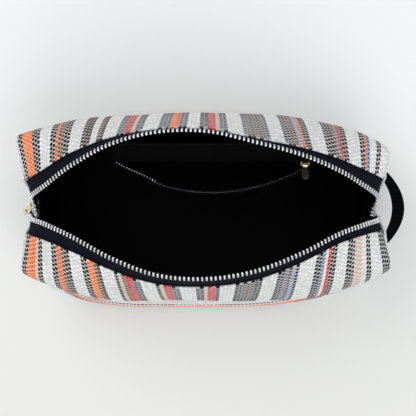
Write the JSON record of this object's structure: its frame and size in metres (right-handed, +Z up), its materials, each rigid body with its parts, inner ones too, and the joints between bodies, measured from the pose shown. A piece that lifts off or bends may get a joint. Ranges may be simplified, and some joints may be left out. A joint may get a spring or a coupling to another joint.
{
  "type": "makeup bag",
  "caption": "Boxy zip-top makeup bag, unzipped and lying open, with a zipped inner pocket and a webbing side handle.",
  "frame": {"origin": "on the floor under the middle of the bag's mouth, halfway between the front and back corner seams", "axes": "+X along the zip towards the handle's end, +Y towards the back wall with the inner pocket, +Z up"},
  "size_m": [0.2298, 0.125, 0.1141],
  "materials": {
    "woven": "handwoven stripes, matt",
    "interlining": "felted, matt",
    "lining": "smooth woven, slight sheen",
    "tape": "ribbed, matt",
    "stiffener": "matt",
    "teeth": "polished nickel",
    "gold": "pale gold plate, polished",
    "webbing": "ribbed webbing, matt"
  },
  "bodies": {
    "shell": {"left_end_panel": "woven", "left_end_interlining": "interlining", "left_end_lining": "lining", "left_zip_tapes": "tape", "left_zip_teeth": "teeth", "left_zip_tail": "tape", "right_end_panel": "woven", "right_end_interlining": "interlining", "right_end_lining": "lining", "right_zip_tapes": "tape", "right_zip_teeth": "teeth", "right_zip_tail": "tape", "base_panel": "woven", "base_stiffener": "stiffener", "base_lining": "lining", "side_handle_ends": "webbing"},
    "front_wall": {"front_panel": "woven", "front_interlining": "interlining", "front_lining": "lining", "front_zip_tape": "tape", "front_zip_teeth": "teeth"},
    "back_wall": {"back_panel": "woven", "back_interlining": "interlining", "back_lining": "lining", "back_zip_tape": "tape", "back_zip_teeth": "teeth", "pocket_facing": "lining", "pocket_panel": "lining", "pocket_zip_tapes": "tape", "pocket_teeth_upper": "teeth", "pocket_teeth_lower": "teeth"},
    "main_slider": {"main_slider": "gold", "main_slider_bridge": "gold"},
    "main_pull": {"main_pull": "gold"},
    "pocket_slider": {"pocket_slider": "gold", "pocket_slider_bridge": "gold"},
    "pocket_pull": {"pocket_pull": "gold"},
    "side_handle": {"side_handle": "webbing"}
  },
  "joints": [
    {"name": "front_wall_lean", "type": "hinge", "parent": "shell", "child": "front_wall", "pos_m": [0, -0.0545, 0.0185], "axis": [-1, 0, 0], "range_deg": [0, 24.8]},
    {"name": "back_wall_lean", "type": "hinge", "parent": "shell", "child": "back_wall", "pos_m": [0, 0.0545, 0.0185], "axis": [1, 0, 0], "range_deg": [0, 26.7]},
    {"name": "main_slider_travel", "type": "slide", "parent": "shell", "child": "main_slider", "axis": [0, 0, 1], "range_m": [0, 0.008]},
    {"name": "main_pull_swing", "type": "hinge", "parent": "main_slider", "child": "main_pull", "pos_m": [-0.10708, 0.0014, 0.0525], "axis": [0.9659, 0.2588, 0], "range_deg": [0, 150]},
    {"name": "pocket_slider_travel", "type": "slide", "parent": "back_wall", "child": "pocket_slider", "axis": [-1, 0, 0], "range_m": [0, 0.1]},
    {"name": "pocket_pull_swing", "type": "hinge", "parent": "pocket_slider", "child": "pocket_pull", "pos_m": [0.05733, 0.0253, 0.066], "axis": [-1, 0, 0], "range_deg": [-3, 75]},
    {"name": "handle_swing", "type": "hinge", "parent": "shell", "child": "side_handle", "pos_m": [0.1092, 0, 0.052], "axis": [0, -1, 0], "range_deg": [-20, 20], "stiffness_Nm_per_rad": 0.002}
  ]
}
